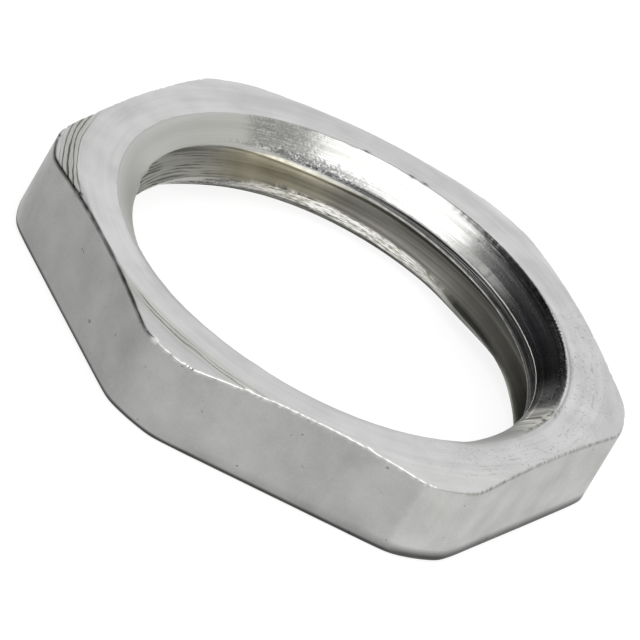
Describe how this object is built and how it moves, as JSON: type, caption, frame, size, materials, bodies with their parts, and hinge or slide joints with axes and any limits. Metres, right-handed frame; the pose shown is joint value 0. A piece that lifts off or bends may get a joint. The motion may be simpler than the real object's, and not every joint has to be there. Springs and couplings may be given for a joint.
{
  "type": "hex lock nut",
  "caption": "Thin nickel-plated brass hexagon lock nut with a wide countersunk threaded bore, turned corners and a shallow cone on its upper face.",
  "frame": {"origin": "centre of the bore at the plain lower face that the nut lies on", "axes": "+Z along the bore axis, out of the turned upper face; +X square to one flat, so +Y points at a turned corner"},
  "size_m": [0.018, 0.0198, 0.0031],
  "materials": {
    "nickel_plated_brass": "bright nickel plate over turned brass, with fine turning marks, small dings and a dull threaded bore"
  },
  "bodies": {
    "root": {"lock_nut": "nickel_plated_brass"}
  },
  "joints": []
}
